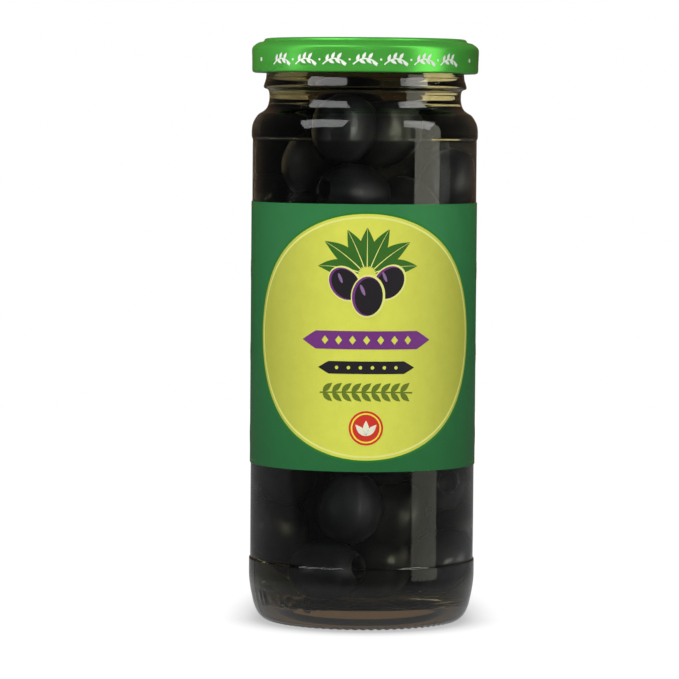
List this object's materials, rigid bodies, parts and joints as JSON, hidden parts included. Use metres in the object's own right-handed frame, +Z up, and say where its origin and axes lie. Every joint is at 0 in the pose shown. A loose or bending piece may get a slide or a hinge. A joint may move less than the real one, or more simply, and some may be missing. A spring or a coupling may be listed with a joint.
{
  "type": "jar of olives",
  "caption": "Glass jar of pitted black olives in brine, with a green twist-off metal lid and a printed wrap label.",
  "frame": {"origin": "centre of the base, on the plane that the jar stands on", "axes": "+Z up along the jar's axis towards the lid, -Y towards the front of the label"},
  "size_m": [0.066, 0.066, 0.1692],
  "materials": {
    "glass": "clear, smooth, faintly green at the edges",
    "lid_metal": "glossy green lacquer with a thin white border on the skirt",
    "label_print": null,
    "olive_skin": "satin, bluish black skins, wet with brine"
  },
  "bodies": {
    "root": {"glass_jar": "glass", "lid": "lid_metal", "label": "label_print", "olives": "olive_skin"}
  },
  "joints": []
}
